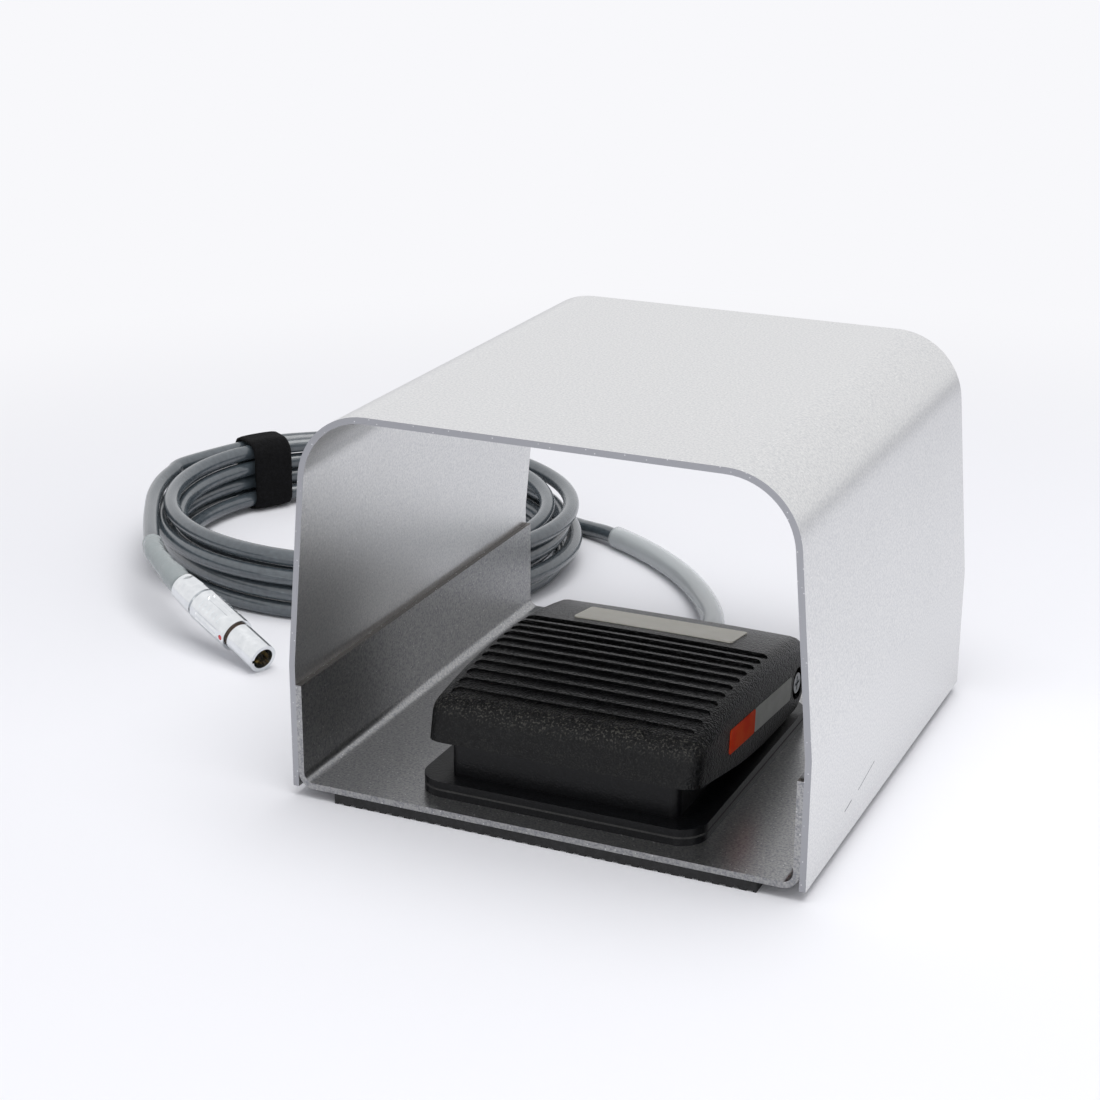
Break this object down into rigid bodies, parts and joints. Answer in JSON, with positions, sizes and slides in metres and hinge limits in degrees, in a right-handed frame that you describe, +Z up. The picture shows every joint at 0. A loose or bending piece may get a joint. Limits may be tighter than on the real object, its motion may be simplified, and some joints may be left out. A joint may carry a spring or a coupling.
{
  "type": "foot switch",
  "caption": "Treadle foot switch bolted into a sheet-metal tray under a folded hood, with a coiled strapped cord and a round push-pull connector.",
  "frame": {"origin": "on the floor, under the middle of the guard's outline, cords left out", "axes": "+Z up, -Y towards the user's side of the hood where the toe of the foot goes in, +X to the right"},
  "size_m": [0.329, 0.274, 0.1207],
  "materials": {
    "hood_paint": "satin, fine speckle",
    "tray_paint": "satin",
    "weld": "rough",
    "pad_rubber": "matte, ribbed underside",
    "pedal_black": "pebbled",
    "treadle_black": "pebbled, worn edges",
    "gasket_rubber": "matte",
    "steel": "plated",
    "switch_plastic": "moulded",
    "brass": "plain",
    "wire_red": "gloss",
    "cable": "matte",
    "gland_black": "moulded",
    "label": "printed film, bare",
    "sticker_red": "film, bare",
    "sticker_grey": "film, bare",
    "rod_white": "turned",
    "button_red": "gloss",
    "sleeve": "translucent",
    "strap": "hook and loop",
    "shrink": "clear grey",
    "connector_chrome": "satin chrome",
    "latch": "plain",
    "dot_red": "gloss"
  },
  "bodies": {
    "guard": {"guard_hood": "hood_paint", "base_tray": "tray_paint", "seam_tacks": "weld", "rubber_pad": "pad_rubber", "bottom_cover": "pedal_black", "cover_gasket": "gasket_rubber", "pedal_base": "pedal_black", "cover_screws": "steel", "mounting_screws": "steel", "pivot_screws": "steel", "stop_bumpers": "gasket_rubber", "return_springs": "steel", "rod_seal": "gasket_rubber", "switch_body": "switch_plastic", "switch_screws": "steel", "switch_terminals": "brass", "switch_wires": "wire_red", "inner_cord": "cable", "cord_clamp": "steel", "clamp_screws": "steel", "cord_gland": "gland_black", "pedal_cord": "cable", "cord_sleeve": "sleeve", "cord_coil": "cable", "cord_strap": "strap", "plug_cord": "cable", "heat_shrink": "shrink", "collet_nut": "connector_chrome", "plug_collet": "brass", "plug_shell": "connector_chrome", "latch_ring": "latch", "plug_insulator": "switch_plastic", "plug_pins": "brass"},
    "treadle": {"treadle": "treadle_black", "label_plate": "label", "red_label": "sticker_red", "grey_label": "sticker_grey"},
    "push_rod": {"push_rod": "rod_white"},
    "switch_lever": {"switch_lever": "steel"},
    "switch_button": {"switch_button": "button_red"},
    "grip_sleeve": {"grip_sleeve": "connector_chrome", "alignment_dot": "dot_red"}
  },
  "joints": [
    {"name": "treadle_pivot", "type": "hinge", "parent": "guard", "child": "treadle", "pos_m": [0.0014, 0.0199, 0.0196], "axis": [1, 0, 0], "range_deg": [0, 2.6], "stiffness_Nm_per_rad": 6, "springref_deg": -8.02, "deforming": ["return_springs"]},
    {"name": "rod_slide", "type": "slide", "parent": "guard", "child": "push_rod", "axis": [0, 0, -1], "range_m": [0, 0.00182]},
    {"name": "lever_pivot", "type": "hinge", "parent": "guard", "child": "switch_lever", "pos_m": [0.0014, -0.00302, 0.02448], "axis": [1, 0, 0], "range_deg": [0, 6.15]},
    {"name": "button_slide", "type": "slide", "parent": "guard", "child": "switch_button", "axis": [0, 0, -1], "range_m": [0, 0.00086]},
    {"name": "grip_slide", "type": "slide", "parent": "guard", "child": "grip_sleeve", "axis": [-0.8848, 0.3756, 0.2756], "range_m": [0, 0.001], "stiffness_N_per_m": 400, "springref_m": -0.002}
  ],
  "couplings": [
    {"joint": "rod_slide", "follows": "treadle_pivot", "m_per_rad": 0.039905},
    {"joint": "lever_pivot", "follows": "treadle_pivot", "ratio": 2.3519},
    {"joint": "button_slide", "follows": "treadle_pivot", "m_per_rad": 0.018779}
  ]
}
